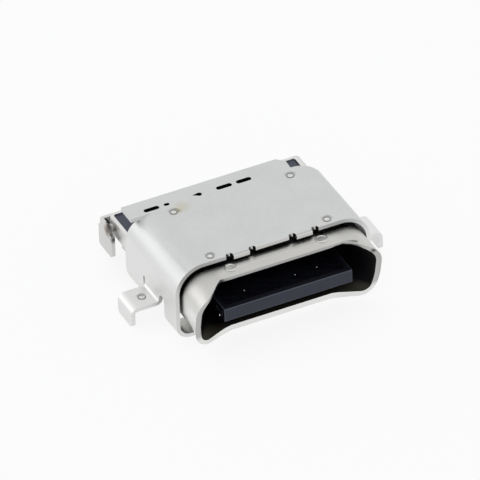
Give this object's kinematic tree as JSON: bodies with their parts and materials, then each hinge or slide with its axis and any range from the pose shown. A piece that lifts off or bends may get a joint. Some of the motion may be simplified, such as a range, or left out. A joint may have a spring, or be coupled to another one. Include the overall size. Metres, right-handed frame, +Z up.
{
  "type": "usb-c socket",
  "caption": "Board-mounted socket with a flared metal mouth, a folded metal cover with board tabs and a flat tongue that carries contacts on both faces.",
  "frame": {"origin": "middle of the bounding box's underside, on the face of the cover's bottom plate", "axes": "+Z up, X across the socket, the plug comes in along +Y through the mouth, which faces -Y"},
  "size_m": [0.0132, 0.0105, 0.004],
  "materials": {
    "mouth_metal": "satin moulded and plated metal",
    "cover_metal": "satin plated stainless sheet",
    "bracket_metal": "satin stainless sheet with heat stain at its welds",
    "core_plastic": "matte moulded plastic, near black with a blue cast",
    "tongue_plastic": "matte moulded plastic, near black with a blue cast",
    "plate_metal": "plain stainless sheet",
    "contact_metal": "gold plated"
  },
  "bodies": {
    "root": {"mouth_shell": "mouth_metal", "cover": "cover_metal", "rear_frame": "bracket_metal", "rear_bracket": "bracket_metal", "core": "core_plastic", "tongue": "tongue_plastic", "mid_plate": "plate_metal", "upper_block": "core_plastic", "lower_block": "core_plastic", "upper_ground_plate": "plate_metal", "lower_ground_plate": "plate_metal", "upper_contact_1": "contact_metal", "upper_contact_2": "contact_metal", "upper_contact_3": "contact_metal", "upper_contact_4": "contact_metal", "upper_contact_5": "contact_metal", "upper_contact_6": "contact_metal", "upper_contact_7": "contact_metal", "upper_contact_8": "contact_metal", "upper_contact_9": "contact_metal", "upper_contact_10": "contact_metal", "upper_contact_11": "contact_metal", "upper_contact_12": "contact_metal", "lower_contact_1": "contact_metal", "lower_contact_2": "contact_metal", "lower_contact_3": "contact_metal", "lower_contact_4": "contact_metal", "lower_contact_5": "contact_metal", "lower_contact_6": "contact_metal", "lower_contact_7": "contact_metal", "lower_contact_8": "contact_metal", "lower_contact_9": "contact_metal", "lower_contact_10": "contact_metal", "lower_contact_11": "contact_metal", "lower_contact_12": "contact_metal"}
  },
  "joints": []
}
